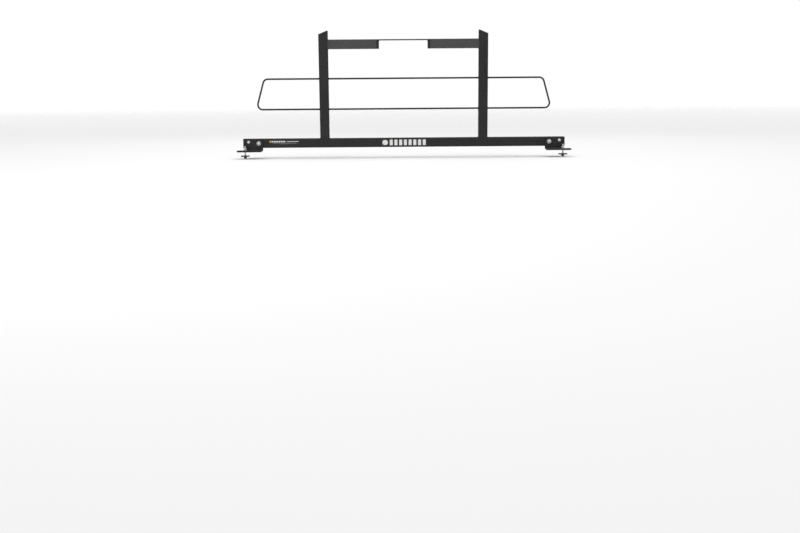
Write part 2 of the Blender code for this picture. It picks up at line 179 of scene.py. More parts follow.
def noise(tree, point, scale, detail=2.0, roughness=0.5, distortion=0.0):
    made = node(tree, "ShaderNodeTexNoise", Scale=scale, Detail=detail,
                Roughness=roughness, Distortion=distortion)
    tree.links.new(point, made.inputs["Vector"])
    return made.outputs["Fac"]


def cells(tree, point, scale):
    made = node(tree, "ShaderNodeTexVoronoi", Scale=scale)
    tree.links.new(point, made.inputs["Vector"])
    return made.outputs["Distance"]


def spread(tree, source, low, high, start=0.35, end=0.65):
    """The source's start..end stretched to low..high."""
    made = node(tree, "ShaderNodeMapRange")
    made.inputs["From Min"].default_value = start
    made.inputs["From Max"].default_value = end
    made.inputs["To Min"].default_value = low
    made.inputs["To Max"].default_value = high
    tree.links.new(source, made.inputs["Value"])
    return made.outputs["Result"]


def ramp(tree, source, *stops):
    """A colour for each (position, colour) stop along the source."""
    made = node(tree, "ShaderNodeValToRGB")
    tree.links.new(source, made.inputs["Fac"])
    marks = made.color_ramp.elements
    for mark, (position, colour) in zip(marks, stops[:2]):
        mark.position = position
        mark.color = (*colour, 1.0)
    for position, colour in stops[2:]:
        marks.new(position).color = (*colour, 1.0)
    return made.outputs["Color"]


def bump(tree, source, distance, before=None, strength=1.0):
    made = node(tree, "ShaderNodeBump", Strength=strength, Distance=distance)
    tree.links.new(source, made.inputs["Height"])
    if before is not None:
        tree.links.new(before, made.inputs["Normal"])
    return made.outputs["Normal"]


def powder_coat(name, dark, light, gloss, specular):
    """Fine-textured powder coat: an orange-peel skin with slow changes of gloss."""
    material, tree, shader = start_material(name, light, gloss, Specular_IOR_Level=specular)
    point = object_point(tree)
    cloud = noise(tree, point, 14.0, detail=4.0)
    tree.links.new(ramp(tree, cloud, (0.32, dark), (0.70, light)), shader.inputs["Base Color"])
    sheen = noise(tree, point, 46.0, detail=5.0, roughness=0.6)
    tree.links.new(spread(tree, sheen, gloss - 0.07, gloss + 0.08), shader.inputs["Roughness"])
    peel = noise(tree, point, 420.0, detail=2.0, roughness=0.6)
    grain = noise(tree, point, 1500.0, detail=2.0)
    skin = bump(tree, peel, 0.00035, strength=0.55)
    tree.links.new(bump(tree, grain, 0.00012, skin, strength=0.5), shader.inputs["Normal"])
    return material


def bright_zinc(name, blue, clear, straw):
    """Clear zinc plate: faint blue and straw clouds, fine drawn scratches."""
    material, tree, shader = start_material(name, clear, 0.28, 1.0)
    point = object_point(tree)
    cloud = noise(tree, point, 160.0, detail=3.0, distortion=0.6)
    colour = ramp(tree, cloud, (0.30, blue), (0.72, straw), (0.50, clear))
    tree.links.new(colour, shader.inputs["Base Color"])
    haze = noise(tree, point, 700.0, detail=4.0, roughness=0.7)
    tree.links.new(spread(tree, haze, 0.20, 0.38), shader.inputs["Roughness"])
    drawn = noise(tree, object_point(tree, (1.0, 1.0, 14.0)), 700.0, detail=2.0)
    tree.links.new(bump(tree, drawn, 0.00006, strength=0.5), shader.inputs["Normal"])
    return material


def dark_zinc():
    """Black zinc over rolled steel, thin and a little blotchy."""
    material, tree, shader = start_material("dark_zinc", (0.06, 0.06, 0.064), 0.40, 1.0)
    point = object_point(tree)
    blotch = noise(tree, point, 120.0, detail=5.0, roughness=0.65)
    colour = ramp(tree, blotch, (0.35, (0.045, 0.045, 0.049)), (0.68, (0.120, 0.116, 0.108)))
    tree.links.new(colour, shader.inputs["Base Color"])
    tree.links.new(spread(tree, blotch, 0.32, 0.50), shader.inputs["Roughness"])
    scale = noise(tree, point, 1300.0, detail=3.0)
    tree.links.new(bump(tree, scale, 0.00008, strength=0.5), shader.inputs["Normal"])
    return material


def moulded_plastic():
    """Black polyethylene with a spark-eroded grain."""
    material, tree, shader = start_material("cap_plastic", (0.016, 0.016, 0.017), 0.5)
    point = object_point(tree)
    cloud = noise(tree, point, 60.0, detail=3.0)
    colour = ramp(tree, cloud, (0.30, (0.013, 0.013, 0.014)), (0.70, (0.021, 0.021, 0.022)))
    tree.links.new(colour, shader.inputs["Base Color"])
    tree.links.new(spread(tree, cloud, 0.44, 0.58), shader.inputs["Roughness"])
    grain = cells(tree, point, 1600.0)
    tree.links.new(bump(tree, grain, 0.00010, strength=0.6), shader.inputs["Normal"])
    return material


def pad_rubber():
    """Matt black rubber, greyed in places by bloom."""
    material, tree, shader = start_material("pad_rubber", (0.012, 0.012, 0.012), 0.85)
    point = object_point(tree)
    bloom = noise(tree, point, 90.0, detail=5.0, roughness=0.7)
    colour = ramp(tree, bloom, (0.40, (0.010, 0.010, 0.010)), (0.75, (0.030, 0.030, 0.029)))
    tree.links.new(colour, shader.inputs["Base Color"])
    tree.links.new(spread(tree, bloom, 0.78, 0.92), shader.inputs["Roughness"])
    pores = noise(tree, point, 1800.0, detail=2.0)
    tree.links.new(bump(tree, pores, 0.00012, strength=0.6), shader.inputs["Normal"])
    return material


def vinyl(name, dark, light, roughness):
    """Cast label film: nearly even, with the faint waviness of something stuck down."""
    material, tree, shader = start_material(name, light, roughness)
    point = object_point(tree)
    cloud = noise(tree, point, 35.0, detail=3.0)
    tree.links.new(ramp(tree, cloud, (0.30, dark), (0.70, light)), shader.inputs["Base Color"])
    tree.links.new(spread(tree, cloud, roughness - 0.05, roughness + 0.06),
                   shader.inputs["Roughness"])
    wave = noise(tree, point, 150.0, detail=1.0)
    tree.links.new(bump(tree, wave, 0.00006, strength=0.4), shader.inputs["Normal"])
    return material


MATERIALS = {
    "powder_black": powder_coat("powder_black", (0.0100, 0.0100, 0.0105),
                                (0.0150, 0.0150, 0.0156), 0.44, 0.36),
    # The crossbar's coat is a lighter copy of the same black powder coat: painted light, standing
    # in for the extra light that the crossbar's face catches.
    "crossbar_black": powder_coat("crossbar_black", (0.046, 0.046, 0.047),
                                  (0.058, 0.058, 0.059), 0.50, 0.42),
    "zinc": bright_zinc("zinc", (0.66, 0.69, 0.73), (0.74, 0.75, 0.75), (0.78, 0.76, 0.71)),
    "dark_zinc": dark_zinc(),
    "cap_plastic": moulded_plastic(),
    "pad_rubber": pad_rubber(),
    "label_vinyl": vinyl("label_vinyl", (0.016, 0.016, 0.017), (0.022, 0.022, 0.023), 0.34),
}
# A darker copy of the bright zinc: painted shade that dims the bright reflection of the floor in
# the washers' faces.
SHADED_ZINC = bright_zinc("shaded_zinc", (0.36, 0.38, 0.40), (0.42, 0.43, 0.43),
                        (0.46, 0.45, 0.42))
MARK_WHITE = vinyl("mark_white", (0.76, 0.76, 0.75), (0.84, 0.84, 0.83), 0.38)
MARK_YELLOW = vinyl("mark_yellow", (0.74, 0.50, 0.03), (0.82, 0.58, 0.05), 0.38)
MARK_GREY = vinyl("mark_grey", (0.14, 0.15, 0.15), (0.18, 0.19, 0.19), 0.40)


# ---------------------------------------------------------------- mesh making
def add_rows(bm, rows, closed=False, capped=False):
    """Joins neighbouring rings of points with faces; closed joins the last to the first."""
    made = [[bm.verts.new(point) for point in row] for row in rows]
    count = len(made[0])
    pairs = list(zip(made, made[1:]))
    if closed:
        pairs.append((made[-1], made[0]))
    for low, high in pairs:
        for here in range(count):
            there = (here + 1) % count
            bm.faces.new((low[here], low[there], high[there], high[here]))
    if capped:
        bm.faces.new(list(reversed(made[0])))
        bm.faces.new(made[-1])


def finish_mesh(name, bm, sharp=25):
    """A mesh of what bm holds, smooth but for edges sharper than that many degrees."""
    bmesh.ops.remove_doubles(bm, verts=bm.verts, dist=1e-6)
    bmesh.ops.recalc_face_normals(bm, faces=bm.faces)
    mesh = bpy.data.meshes.new(name)
    bm.to_mesh(mesh)
    bm.free()
    mesh.shade_smooth()
    mesh.set_sharp_from_angle(angle=math.radians(sharp))
    return mesh


def rows_mesh(name, rows, closed=False, capped=False, sharp=25):
    bm = bmesh.new()
    add_rows(bm, rows, closed, capped)
    return finish_mesh(name, bm, sharp)


def box_mesh(name, extent, round_along=None, corner=0.0):
    """A box centred on its origin; its four edges along one axis may be rounded."""
    if round_along is None:
        bm = bmesh.new()
        bmesh.ops.create_cube(bm, size=1.0)
        bmesh.ops.scale(bm, vec=extent, verts=bm.verts)
        return finish_mesh(name, bm)
    across = [axis for axis in range(3) if axis != round_along]
    outline = rounded_rectangle(extent[across[0]], extent[across[1]], corner)
    rows = []
    for end in (-0.5, 0.5):
        row = []
        for u, v in outline:
            point = [0.0, 0.0, 0.0]
            point[across[0]], point[across[1]] = u, v
            point[round_along] = end * extent[round_along]
            row.append(Vector(point))
        rows.append(row)
    return rows_mesh(name, rows, capped=True)


def hole_mesh(length):
    """A cutter along Z for the hole of a bolt."""
    return rows_mesh("hole", [ring(BOLT_HOLE / 2, level) for level in (-length / 2, length / 2)],
                     capped=True)


def placed(mesh, location=(0.0, 0.0, 0.0), rotation=(0.0, 0.0, 0.0)):
    turned = Matrix.Translation(location)
    for axis, angle in zip("XYZ", rotation):
        turned = turned @ Matrix.Rotation(angle, 4, axis)
    mesh.transform(turned)
    return mesh


def carved(mesh, cutters, bevel=0.0, sharp=25):
    """The mesh with the cutters taken out of it and its sharp edges rounded."""
    link = bpy.context.scene.collection.objects.link
    piece = bpy.data.objects.new("carving", mesh)
    link(piece)
    tools = []
    for cutter in cutters:
        tool = bpy.data.objects.new("cutter", cutter)
        link(tool)
        tools.append(tool)
        change = piece.modifiers.new("cut", "BOOLEAN")
        change.operation = "DIFFERENCE"
        change.solver = "EXACT"
        change.object = tool
    if bevel:
        change = piece.modifiers.new("edges", "BEVEL")
        change.width = bevel
        change.segments = 2
        change.limit_method = "ANGLE"
        change.angle_limit = math.radians(35)
        change.use_clamp_overlap = True
    bm = bmesh.new()
    bm.from_object(piece, bpy.context.evaluated_depsgraph_get())
    for item in [piece, *tools]:
        bpy.data.objects.remove(item, do_unlink=True)
    bmesh.ops.dissolve_degenerate(bm, edges=bm.edges, dist=1e-6)
    return finish_mesh(mesh.name, bm, sharp)


def rounded_rectangle(width, height, corner, steps=CORNER_STEPS):
    """Points round a rectangle centred on zero, counter-clockwise."""
    points = []
    for quarter, (right, up) in enumerate(((1, 1), (-1, 1), (-1, -1), (1, -1))):
        for step in range(steps + 1):
            angle = math.pi / 2 * (quarter + step / steps)
            points.append((right * (width / 2 - corner) + corner * math.cos(angle),
                           up * (height / 2 - corner) + corner * math.sin(angle)))
    return points


def ring(radius, level, columns=COLUMNS):
    """Points round Z at that level; the radius may change with the column."""
    points = []
    for column in range(columns):
        angle = 2 * math.pi * column / columns
        reach = radius(column) if callable(radius) else radius
        points.append(Vector((reach * math.cos(angle), reach * math.sin(angle), level)))
    return points


def tube_mesh(name, width, height, corner, wall, place, start, end):
    """A hollow tube with rounded corners; place(u, v, along) puts a point of it in space.

    start(u, v) and end(u, v) give how far along it begins and ends there.
    """
    outer = rounded_rectangle(width, height, corner)
    eased = rounded_rectangle(width - 2 * EDGE, height - 2 * EDGE, corner - EDGE)
    inner = rounded_rectangle(width - 2 * wall, height - 2 * wall, max(corner - wall, 0.0005))
    rows = [
        [place(u, v, start(u, v)) for u, v in eased],
        [place(u, v, start(u, v) + EDGE) for u, v in outer],
        [place(u, v, end(u, v) - EDGE) for u, v in outer],
        [place(u, v, end(u, v)) for u, v in eased],
        [place(u, v, end(u, v)) for u, v in inner],
        [place(u, v, start(u, v)) for u, v in inner],
    ]
    return rows_mesh(name, rows, closed=True)


def bent_line(corners, radius, steps):
    """Points along straight runs through the corners, with an arc at each inner one."""
    points = [Vector(corners[0])]
    for before, corner, after in zip(corners, corners[1:], corners[2:]):
        corner = Vector(corner)
        into = (corner - Vector(before)).normalized()
        out = (Vector(after) - corner).normalized()
        turning = into.angle(out)
        start = corner - into * radius * math.tan(turning / 2)
        side = (out - into * into.dot(out)).normalized()
        centre = start + side * radius
        for step in range(steps + 1):
            angle = turning * step / steps
            points.append(centre + (into * math.sin(angle) - side * math.cos(angle)) * radius)
    points.append(Vector(corners[-1]))
    return points


def sweep_rows(path, normal, radius, sides=ROD_SIDES, closed=False):
    """Rings round a path in the plane square to normal; radius(distance, angle) is theirs."""
    rows, distance = [], 0.0
    for here, point in enumerate(path):
        if closed:
            before, after = path[here - 1], path[(here + 1) % len(path)]
        else:
            before, after = path[max(here - 1, 0)], path[min(here + 1, len(path) - 1)]
        if here:
            distance += (point - path[here - 1]).length
        across = normal.cross(after - before).normalized()
        row = []
        for column in range(sides):
            angle = 2 * math.pi * column / sides
            reach = radius(distance, angle)
            row.append(point + reach * (across * math.cos(angle) + normal * math.sin(angle)))
        rows.append(row)
    return rows


def show(name, mesh, slot, body="root", nodes=(), material=None):
    """Puts a piece in the scene, on its body, for the CAD nodes that it stands for."""
    piece = bpy.data.objects.new(name, mesh)
    bpy.context.scene.collection.objects.link(piece)
    mesh.materials.clear()
    mesh.materials.append(material or MATERIALS[slot])
    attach(piece, body)
    if nodes:
        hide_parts(*nodes)


# ---------------------------------------------------------------- base beam
def make_beam():
    def along_x(u, v, along):
        return Vector((along, u, BEAM_MIDDLE + v))

    mesh = tube_mesh("beam_tube", BEAM_SIDE, BEAM_SIDE, BEAM_CORNER, BEAM_WALL, along_x,
                     lambda u, v: BEAM_LOW.x, lambda u, v: BEAM_HIGH.x)
    holes = []
    for side in SIDES:
        for place in PLACES:
            bolt = middle(f"beam_bolt_{side}_{place}")
            holes.append(placed(hole_mesh(2 * BEAM_SIDE), (bolt.x, 0.0, bolt.z),
                                (math.pi / 2, 0.0, 0.0)))
    show("beam_tube", carved(mesh, holes), "powder_black", nodes=["base_beam"])


def make_end_cap(side, sign):
    """A domed plastic plug, with gripping ribs round the skirt inside the tube."""
    cad = f"beam_end_cap_{side}"
    low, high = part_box(cad)
    face = sign * max(abs(low.x), abs(high.x))
    skirt_end = max(abs(low.x), abs(high.x)) - min(abs(low.x), abs(high.x))
    flange = abs(face) - max(abs(BEAM_LOW.x), abs(BEAM_HIGH.x)) - GAP
    bore = BEAM_SIDE - 2 * (BEAM_WALL + GAP)
    # (distance in from the flange's rim, depth behind the outer face)
    dome = [(0.0200, 0.00000), (0.0120, 0.00008), (0.0060, 0.00030), (0.0026, 0.00070),
            (0.0010, 0.00120), (0.0002, 0.00190), (0.0000, 0.00250), (0.0004, flange)]
    rows = [(BEAM_SIDE - 2 * inset, max(BEAM_CORNER - inset, 0.0015), depth)
            for inset, depth in dome]
    rib, ribs, cup_wall = 0.0008, 3, 0.0025
    pitch = (skirt_end - flange) / (ribs + 0.5)
    # (width, corner) at the ribs' roots and crests and in the hollow inside the skirt
    root, crest, hollow = (bore - 2 * rib, 0.0015), (bore, 0.0020), (bore - 2 * cup_wall, 0.0010)
    rows.append((*root, flange))
    for count in range(ribs):
        here = flange + pitch * (count + 0.35)
        rows += [(*root, here), (*crest, here + 0.2 * pitch), (*crest, here + 0.4 * pitch),
                 (*root, here + 0.7 * pitch)]
    rows += [(*root, skirt_end), (*hollow, skirt_end), (*hollow, flange)]
    rings = [[Vector((face - sign * depth, u, BEAM_MIDDLE + v))
              for u, v in rounded_rectangle(width, width, corner)]
             for width, corner, depth in rows]
    show(f"end_plug_{side}", rows_mesh(cad, rings, capped=True, sharp=35), "cap_plastic",
         nodes=[cad])


# ---------------------------------------------------------------- upright posts
def make_post(side, sign):
    low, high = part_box(f"post_{side}")
    width, depth = high.x - low.x, high.y - low.y
    x = (low.x + high.x) / 2
    centre_top = high.z - math.tan(MITRE) * width / 2

    def along_z(u, v, along):
        return Vector((x + u, POST_Y + v, along))

    def top(u, v):
        return centre_top - sign * math.tan(MITRE) * u

    show(f"upright_{side}", tube_mesh(f"upright_{side}", width, depth, POST_CORNER, POST_WALL,
                                      along_z, lambda u, v: low.z, top),
         "powder_black", nodes=[f"post_{side}"])
    make_post_cap(side, sign, Vector((x, POST_Y, centre_top)), width, depth)
    make_foot_weld(side, x, width, depth)


def make_post_cap(side, sign, on, width, depth):
    """The plate that closes a mitred top, and the ground-flush weld round it."""
    long = width / math.cos(MITRE)
    slope = Matrix.Rotation(sign * MITRE, 3, "Y")
    rows = []
    for inset, level in ((0.0009, 0.0), (0.0002, 0.0002), (0.0, 0.0009), (0.0, CAP - 0.0012),
                         (0.0003, CAP - 0.0005), (0.0012, CAP)):
        outline = rounded_rectangle(long - 2 * inset, depth - 2 * inset, POST_CORNER - inset)
        rows.append([on + slope @ Vector((u, v, GAP + level)) for u, v in outline])
    show(f"top_plate_{side}", rows_mesh("top_plate", rows, capped=True, sharp=35),
         "powder_black", nodes=[f"post_cap_{side}"])
    inset = 0.0006
    outline = rounded_rectangle(long - 2 * inset, depth - 2 * inset, POST_CORNER - inset)
    seam = [on + slope @ Vector((u, v, GAP / 2)) for u, v in outline]
    weld(f"top_weld_{side}", [(seam, slope @ Z_AXIS, CAP_BEAD)], ripple=0.06)


# ---------------------------------------------------------------- welds
def even_steps(loop, step):
    """The closed loop's points, set out again at even steps."""
    lengths = [(after - before).length for before, after in zip(loop, loop[1:] + loop[:1])]
    count = max(12, round(sum(lengths) / step))
    spacing = sum(lengths) / count
    points, here, walked = [], 0, 0.0
    for index in range(count):
        target = index * spacing
        while walked + lengths[here] < target:
            walked += lengths[here]
            here += 1
        share = (target - walked) / lengths[here]
        points.append(loop[here].lerp(loop[(here + 1) % len(loop)], share))
    return points


def weld(name, loops, ripple=0.22, slot="powder_black"):
    """Weld beads along closed loops, each (points, the loop's normal, the bead's radius)."""
    chance = random.Random(name)
    bm = bmesh.new()
    for loop, normal, thick in loops:
        path = even_steps(loop, WELD_STEP)
        length = sum((after - before).length for before, after in zip(path, path[1:] + path[:1]))
        pitch = length / max(3, round(length / RIPPLE_PITCH))
        drift = [chance.uniform(0.0, 2 * math.pi) for _ in range(3)]

        def reach(distance, angle, length=length, pitch=pitch, drift=drift, thick=thick):
            # each ripple is a crescent that lags at the bead's sides
            phase = (distance / pitch + 0.30 * math.cos(2 * angle)) % 1.0
            scallop = abs(math.sin(math.pi * phase)) ** 0.7
            turn = 2 * math.pi * distance / length
            slow = sum(math.sin((order + 2) * turn + drift[order]) for order in range(3)) / 3
            return thick * (1.0 - ripple + ripple * scallop + 0.06 * slow)

        add_rows(bm, sweep_rows(path, normal, reach, WELD_SIDES, closed=True), closed=True)
    show(name, finish_mesh(name, bm, sharp=60), slot)


def make_foot_weld(side, x, width, depth):
    """The bead round a post's foot; it dips over the beam's rounded edge at the front."""
    loop = []
    inset = 0.0003
    for u, v in rounded_rectangle(width - 2 * inset, depth - 2 * inset, POST_CORNER, 12):
        y = POST_Y + v
        over = max(0.0, abs(y) - (BEAM_FACE - BEAM_CORNER))
        drop = BEAM_CORNER - math.sqrt(max(0.0, BEAM_CORNER ** 2 - over ** 2))
        loop.append(Vector((x + u, y, BEAM_TOP - 0.35 * drop)))
    weld(f"foot_weld_{side}", [(loop, Z_AXIS, FOOT_BEAD)])


# ---------------------------------------------------------------- crossbar
def make_crossbar():
    """The tube, its window, the pressed cups beside the window and the end welds."""
    low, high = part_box("crossbar")
    depth, height = high.y - low.y, high.z - low.z
    level = (low.z + high.z) / 2

    def along_x(u, v, along):
        return Vector((along, POST_Y + u, level + v))

    mesh = tube_mesh("cross_tube", depth, height, BAR_CORNER, BAR_WALL, along_x,
                     lambda u, v: low.x, lambda u, v: high.x)
    cup_far = abs(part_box("window_end_left")[0].x) + GAP
    strip = high.z - BAR_TOP_WALL
    window = placed(box_mesh("window", (2 * cup_far, 2 * depth, 2 * (strip - low.z))),
                    (0.0, POST_Y, low.z))
    show("cross_tube", carved(mesh, [window], bevel=EDGE), "crossbar_black", nodes=["crossbar"])
    for side, sign in SIDES.items():
        make_window_cup(side, sign, low.z, strip, depth)
        outline = rounded_rectangle(depth, height, BAR_CORNER)
        ends = [Vector((sign * high.x, POST_Y + u, level + v)) for u, v in outline]
        weld(f"bar_weld_{side}", [(ends, X_AXIS, BAR_BEAD)], slot="crossbar_black")


def make_window_cup(side, sign, bottom, top, depth):
    """A pressed cup that closes the cut tube and flares into the strip above the window."""
    low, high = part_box(f"window_end_{side}")
    near, far = min(abs(low.x), abs(high.x)), max(abs(low.x), abs(high.x))

    def outline(edge, bend, inset):
        """Plan of the cup: rounded towards the window, square against the tube."""
        points = []
        half = depth / 2 - inset
        steps = 2 * CORNER_STEPS
        for turn in range(2):
            for step in range(steps + 1):
                angle = math.pi / 2 * (turn + step / steps)
                v = (1 - 2 * turn) * (half - bend) + bend * math.cos(angle)
                u = edge + bend - bend * math.sin(angle)
                points.append((u, v))
        points += [(far - inset, -half), (far - inset, half)]
        return points

    rows = []

    def add(level, edge, bend, inset=0.0):
        rows.append([Vector((sign * u, POST_Y + v, level))
                     for u, v in outline(edge, bend, inset)])

    for inset, rise in ((0.0008, 0.0), (0.0003, 0.0002), (0.0, 0.0008)):
        add(bottom + rise, near + inset, CUP_BEND - inset, inset)
    ceiling = top - GAP / 2
    for step in range(CORNER_STEPS + 1):
        angle = math.pi / 2 * step / CORNER_STEPS
        flare = BAR_FILLET * (1 - math.cos(angle))
        level = ceiling - BAR_FILLET * (1 - math.sin(angle))
        add(level, near - flare, CUP_BEND - 0.75 * flare)
    show(f"window_cup_{side}", rows_mesh("window_cup", rows, capped=True, sharp=40),
         "powder_black", nodes=[f"window_end_{side}"])


# ---------------------------------------------------------------- window guard rods
def make_rods():
    """The straight rods between the posts, the bent wings outside them and their welds."""
    radius = size("guard_rod_upper").z / 2
    levels = {name: middle(f"guard_rod_{name}").z for name in ("upper", "lower")}
    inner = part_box("guard_rod_upper")[1].x
    for name, level in levels.items():
        path = [Vector((x, POST_Y, level)) for x in (-inner, inner)]
        rows = sweep_rows(path, Y_AXIS, lambda distance, angle: radius)
        show(f"rod_{name}", rows_mesh("rod", rows, capped=True), "powder_black",
             nodes=[f"guard_rod_{name}"])
    for side, sign in SIDES.items():
        make_wing(side, sign, levels, radius)
        rings = []
        low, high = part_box(f"post_{side}")
        for level in levels.values():
            for x in (low.x - GAP, high.x + GAP):
                place = Vector((x, POST_Y, level))
                loop = [place + Vector((0.0, point.x, point.y)) for point in ring(radius, 0.0)]
                rings.append((loop, X_AXIS, ROD_BEAD))
        weld(f"rod_welds_{side}", rings)


def make_wing(side, sign, levels, radius):
    """One rod bent round two corners; the lower corner reaches further out."""
    low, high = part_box(f"wing_rod_{side}")
    start = min(abs(low.x), abs(high.x))
    corners = [(start, levels["upper"]), (WING_UPPER, levels["upper"]),
               (WING_LOWER, levels["lower"]), (start, levels["lower"])]
    path = bent_line([(sign * x, POST_Y, level) for x, level in corners], ROD_BEND, 20)
    rows = sweep_rows(path, Y_AXIS, lambda distance, angle: radius)
    show(f"wing_{side}", rows_mesh("wing", rows, capped=True), "powder_black",
         nodes=[f"wing_rod_{side}"])


# ---------------------------------------------------------------- bed-rail brackets
def plate_outline():
    """The bent plate's section, (y, z) points all round it."""
    leg = BEAM_FACE + GAP + PLATE / 2
    foot = PAD + GAP + PLATE / 2
    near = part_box("mount_bracket_left")[0].y
    line = bent_line([(0.0, -leg, BEAM_TOP), (0.0, -leg, foot), (0.0, near, foot)],
                     FOOT_BEND, 16)
    front, back = [], []
    for here, point in enumerate(line):
        before, after = line[max(here - 1, 0)], line[min(here + 1, len(line) - 1)]
        across = X_AXIS.cross(after - before).normalized() * PLATE / 2
        front.append(point + across)
        back.append(point - across)
    return front + back[::-1]


def make_bracket(side, sign):
    """Leg, bend and foot in one plate, with an outboard tongue, slots and a bolt hole."""
    cad = f"mount_bracket_{side}"
    low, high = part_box(cad)
    inner, outer = min(abs(low.x), abs(high.x)), max(abs(low.x), abs(high.x))
    outline = plate_outline()
    rows = [[Vector((sign * x, point.y, point.z)) for point in outline] for x in (inner, outer)]
    mesh = rows_mesh(cad, rows, capped=True)

    cutters = []
    lean = math.atan2(LEG_OUTER_FOOT - LEG_OUTER_TOP, BEAM_TOP)
    outward = Vector((sign * math.cos(lean), 0.0, math.sin(lean)))
    end = Vector((sign * LEG_OUTER_FOOT, FOOT_RELIEF + CUT_THROUGH / 2, 0.0))
    cutters.append(placed(box_mesh("outline", (CUT_THROUGH,) * 3),
                          end + outward * CUT_THROUGH / 2, (0.0, -sign * lean, 0.0)))
    square = FOOT_CHAMFER * math.sqrt(2)
    for x, y in ((outer, FOOT_RELIEF), (outer, low.y), (inner, low.y)):
        cutters.append(placed(box_mesh("corner", (square, square, CUT_THROUGH)),
                              (sign * x, y, 0.0), (0.0, 0.0, math.pi / 4)))
    square = LEG_CORNER * math.sqrt(2)
    for x in (inner, LEG_OUTER_TOP):
        cutters.append(placed(box_mesh("corner", (square, 4 * BEAM_SIDE, square)),
                              (sign * x, 0.0, BEAM_TOP), (0.0, math.pi / 4, 0.0)))
    free = (BOLT_HOLE - BOLT_DIAMETER) / 2
    slot_length = BOLT_HOLE + 2 * (BRACKET_TRAVEL - free + GAP)
    for place in PLACES:
        bolt = middle(f"beam_bolt_{side}_{place}")
        # just short of a half circle at each end, so that no two of its points coincide
        slot = box_mesh("slot", (slot_length, CUT_THROUGH, BOLT_HOLE), 1, 0.499 * BOLT_HOLE)
        cutters.append(placed(slot, (bolt.x, 0.0, bolt.z)))
    clamp = middle(f"clamp_stud_{side}")
    cutters.append(placed(hole_mesh(4 * PLATE), (clamp.x, clamp.y, PAD)))
    show(f"bracket_{side}", carved(mesh, cutters, bevel=PLATE_EDGE), "powder_black",
         f"bracket_{side}", [cad])


def make_foot_pad(side):
    """A rubber pad with grooves across its underside and a soft rim."""
    cad = f"foot_pad_{side}"
    low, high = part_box(cad)
    width, depth, thick = high - low
    centre = (low + high) / 2
    rows = []
    for inset, level in ((0.0008, -0.5), (0.0002, -0.40), (0.0, -0.15), (0.0, 0.15),
                         (0.0002, 0.40), (0.0008, 0.5)):
        outline = rounded_rectangle(width - 2 * inset, depth - 2 * inset, FOOT_CHAMFER - inset)
        rows.append([centre + Vector((u, v, level * thick)) for u, v in outline])
    mesh = rows_mesh(cad, rows, capped=True, sharp=50)
    clamp = middle(f"clamp_stud_{side}")
    cutters = [placed(hole_mesh(4 * PAD), (clamp.x, clamp.y, PAD))]
    groove, spacing = (0.0016, 2 * depth, 0.0018), 0.0070
    count = int(width / spacing)
    for index in range(count):
        x = low.x + width / 2 + (index - (count - 1) / 2) * spacing
        cutters.append(placed(box_mesh("groove", groove), (x, centre.y, low.z)))
    show(f"rubber_pad_{side}", carved(mesh, cutters, sharp=40), "pad_rubber",
         f"bracket_{side}", [cad])


# ---------------------------------------------------------------- fasteners
def hexagon(column):
    """How far the hexagon reaches at that column, its corners a little worn."""
    turn = math.radians(360 / COLUMNS * column % 60 - 30)
    return min(ACROSS_FLATS / 2 / math.cos(turn), 0.985 * ACROSS_FLATS / math.sqrt(3))


def chamfered(level, sense):
    """The hexagon's edge, cut back by a 30 degree cone that starts at the face's circle."""
    points = []
    for column, point in enumerate(ring(hexagon, level)):
        drop = max(0.0, hexagon(column) - FACE_RADIUS) * math.tan(math.radians(30))
        points.append(Vector((point.x, point.y, level - sense * drop)))
    return points


def add_thread(bm, bottom, top):
    """A helical thread whose first turn starts on the tip's chamfer."""
    crest, root = BOLT_DIAMETER / 2, BOLT_DIAMETER / 2 - THREAD_DEPTH
    # where in one pitch a row lies, and its radius: root flat, flank, crest flat, flank
    section = [(0.0, root), (0.25, root), (0.56, crest), (0.69, crest)]
    turns = math.ceil((top - bottom) / THREAD_PITCH) + 3
    columns = []
    for column in range(COLUMNS):
        angle = 2 * math.pi * column / COLUMNS
        points = []
        for row in range(turns * len(section)):
            share, radius = section[row % len(section)]
            level = bottom + THREAD_PITCH * (row // len(section) - 1 + share + column / COLUMNS)
            level = min(max(level, bottom), top)
            radius = min(radius, TIP + level - bottom)
            radius = max(radius, crest - 0.6 * (top - level))
            points.append(bm.verts.new((radius * math.cos(angle), radius * math.sin(angle),
                                        level)))
        columns.append(points)
    for column in range(COLUMNS):
        here, there = columns[column], columns[(column + 1) % COLUMNS]
        lag = len(section) if column == COLUMNS - 1 else 0
        for row in range(len(here) - 1 - lag):
            bm.faces.new((here[row], there[row + lag], there[row + lag + 1], here[row + 1]))


def bolt_mesh(length, head_height):
    """A hexagon bolt along Z; its origin is where the head's underside meets the axis."""
    bm = bmesh.new()
    shank = BOLT_DIAMETER / 2
    washer_face = 0.0004
    thread_top = THREADED - length
    dimple = 0.0003
    head = [
        ring(shank, thread_top), ring(shank, -0.0005), ring(shank + 0.0005, 0.0),
        ring(FACE_RADIUS, 0.0), ring(FACE_RADIUS, washer_face),
        ring(hexagon, washer_face), chamfered(head_height, 1),
        ring(FACE_RADIUS, head_height), ring(0.62 * FACE_RADIUS, head_height),
        ring(0.52 * FACE_RADIUS, head_height - dimple),
        ring(0.2 * FACE_RADIUS, head_height - 1.4 * dimple),
    ]
    add_rows(bm, head)
    add_thread(bm, -length, thread_top)
    bm.faces.new([bm.verts.new(point) for point in head[-1]])
    bm.faces.new([bm.verts.new(point) for point in ring(TIP, -length)])
    return finish_mesh("bolt", bm)


def stud_mesh(length):
    """A fully threaded stud centred on its origin, chamfered at both ends."""
    bm = bmesh.new()
    half = length / 2
    plain = 0.0015
    shank = BOLT_DIAMETER / 2
    end = [ring(shank, half - plain), ring(shank, half - plain / 2), ring(TIP, half)]
    add_rows(bm, end)
    add_thread(bm, -half, half - plain)
    bm.faces.new([bm.verts.new(point) for point in end[-1]])
    bm.faces.new([bm.verts.new(point) for point in ring(TIP, -half)])
    return finish_mesh("stud", bm)


